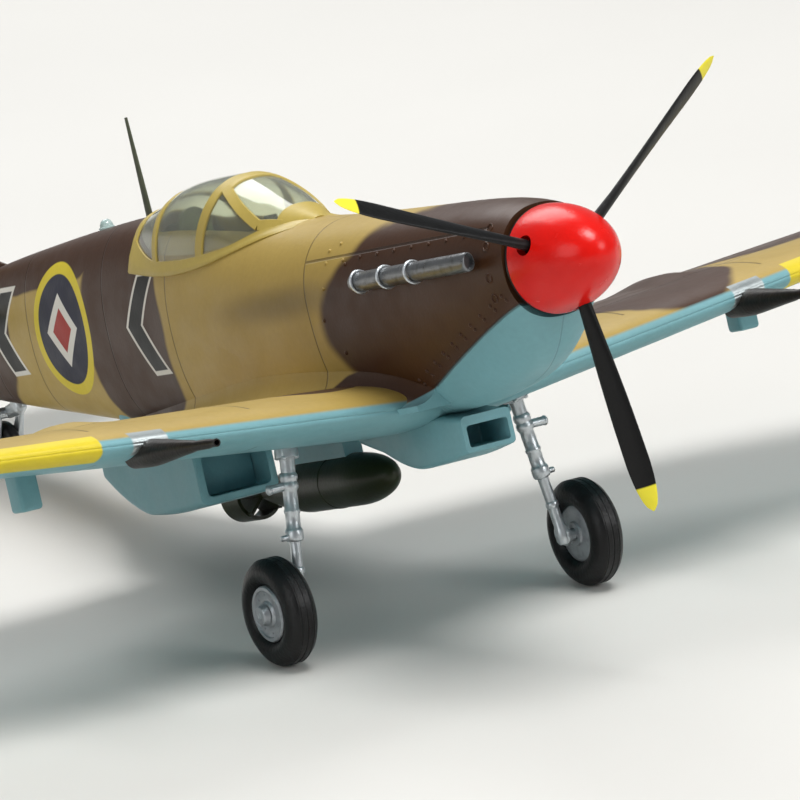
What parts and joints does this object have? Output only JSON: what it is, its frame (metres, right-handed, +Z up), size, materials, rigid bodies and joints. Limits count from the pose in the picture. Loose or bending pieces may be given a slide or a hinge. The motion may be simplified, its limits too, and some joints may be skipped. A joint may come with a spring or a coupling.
{
  "type": "propeller plane model",
  "caption": "Display model of a single-seat low-wing fighter with three-blade propeller, elliptical wings, belly store and turning wheels.",
  "frame": {"origin": "centre of the bounding box's base, on the surface that the three wheels stand on", "axes": "+Z up, nose towards -Y, port wing towards +X; the model sits nose-up on its wheels"},
  "size_m": [0.1548, 0.1244, 0.0495],
  "materials": {
    "camouflage": "satin paint, brown and mid-stone pattern",
    "underside_blue": "satin paint",
    "spinner_red": "gloss paint",
    "propeller_black": "semi-gloss",
    "steel_pin": "turned",
    "bush_grey": "bare moulding",
    "clear_plastic": "clear, with painted frames",
    "cockpit_green": "matt paint",
    "cockpit_black": "matt paint",
    "mast_green": "matt paint",
    "lamp_clear": "clear cap",
    "exhaust_metal": "metallic paint",
    "gun_bronze": "dark bronze paint",
    "matrix_grey": "matt paint",
    "silver_paint": "bright metallic paint",
    "tyre_black": "semi-gloss",
    "wheel_grey": "metallic paint",
    "store_olive": "satin paint"
  },
  "bodies": {
    "airframe": {"fuselage_left": "camouflage", "fuselage_right": "camouflage", "wing_lower": "underside_blue", "wing_upper_left": "camouflage", "wing_upper_right": "camouflage", "tail_fin": "camouflage", "tailplane_left": "underside_blue", "tailplane_right": "underside_blue", "rudder": "camouflage", "shaft_bush": "bush_grey", "canopy": "clear_plastic", "cockpit_floor": "cockpit_green", "cockpit_bulkhead": "cockpit_green", "pilot_seat": "cockpit_black", "instrument_panel": "cockpit_black", "control_stick": "cockpit_black", "gunsight": "cockpit_black", "aerial_mast": "mast_green", "spine_light": "lamp_clear", "exhaust_left": "exhaust_metal", "exhaust_right": "exhaust_metal", "cannon_left": "gun_bronze", "cannon_right": "gun_bronze", "carburettor_intake": "underside_blue", "radiator_housing": "underside_blue", "radiator_matrix": "matrix_grey", "oil_cooler": "underside_blue", "landing_lamp_left": "underside_blue", "landing_lamp_right": "underside_blue", "pitot_tube": "silver_paint", "gear_leg_left": "silver_paint", "gear_leg_right": "silver_paint", "axle_cap_left": "wheel_grey", "axle_cap_right": "wheel_grey", "tail_wheel_leg": "silver_paint", "tail_axle": "steel_pin", "store_body": "store_olive", "store_tail": "store_olive", "store_rack": "underside_blue", "stand_socket": "underside_blue"},
    "propeller": {"spinner": "spinner_red", "spinner_backplate": "propeller_black", "propeller_hub": "propeller_black", "propeller_blade_1": "propeller_black", "propeller_blade_2": "propeller_black", "propeller_blade_3": "propeller_black", "propeller_shaft": "steel_pin", "shaft_collar": "bush_grey"},
    "wheel_left": {"main_tyre_left": "tyre_black", "main_wheel_left": "wheel_grey"},
    "wheel_right": {"main_tyre_right": "tyre_black", "main_wheel_right": "wheel_grey"},
    "wheel_tail": {"tail_wheel": "tyre_black"}
  },
  "joints": [
    {"name": "propeller_spin", "type": "hinge", "parent": "airframe", "child": "propeller", "pos_m": [0, -0.05636, 0.03664], "axis": [0, -0.9653, 0.2613], "continuous": true},
    {"name": "wheel_left_spin", "type": "hinge", "parent": "airframe", "child": "wheel_left", "pos_m": [0.0152, -0.03022, 0.0046], "axis": [1, 0, 0], "continuous": true},
    {"name": "wheel_right_spin", "type": "hinge", "parent": "airframe", "child": "wheel_right", "pos_m": [-0.0152, -0.03022, 0.0046], "axis": [1, 0, 0], "continuous": true},
    {"name": "wheel_tail_spin", "type": "hinge", "parent": "airframe", "child": "wheel_tail", "pos_m": [0, 0.04252, 0.002], "axis": [1, 0, 0], "continuous": true}
  ]
}
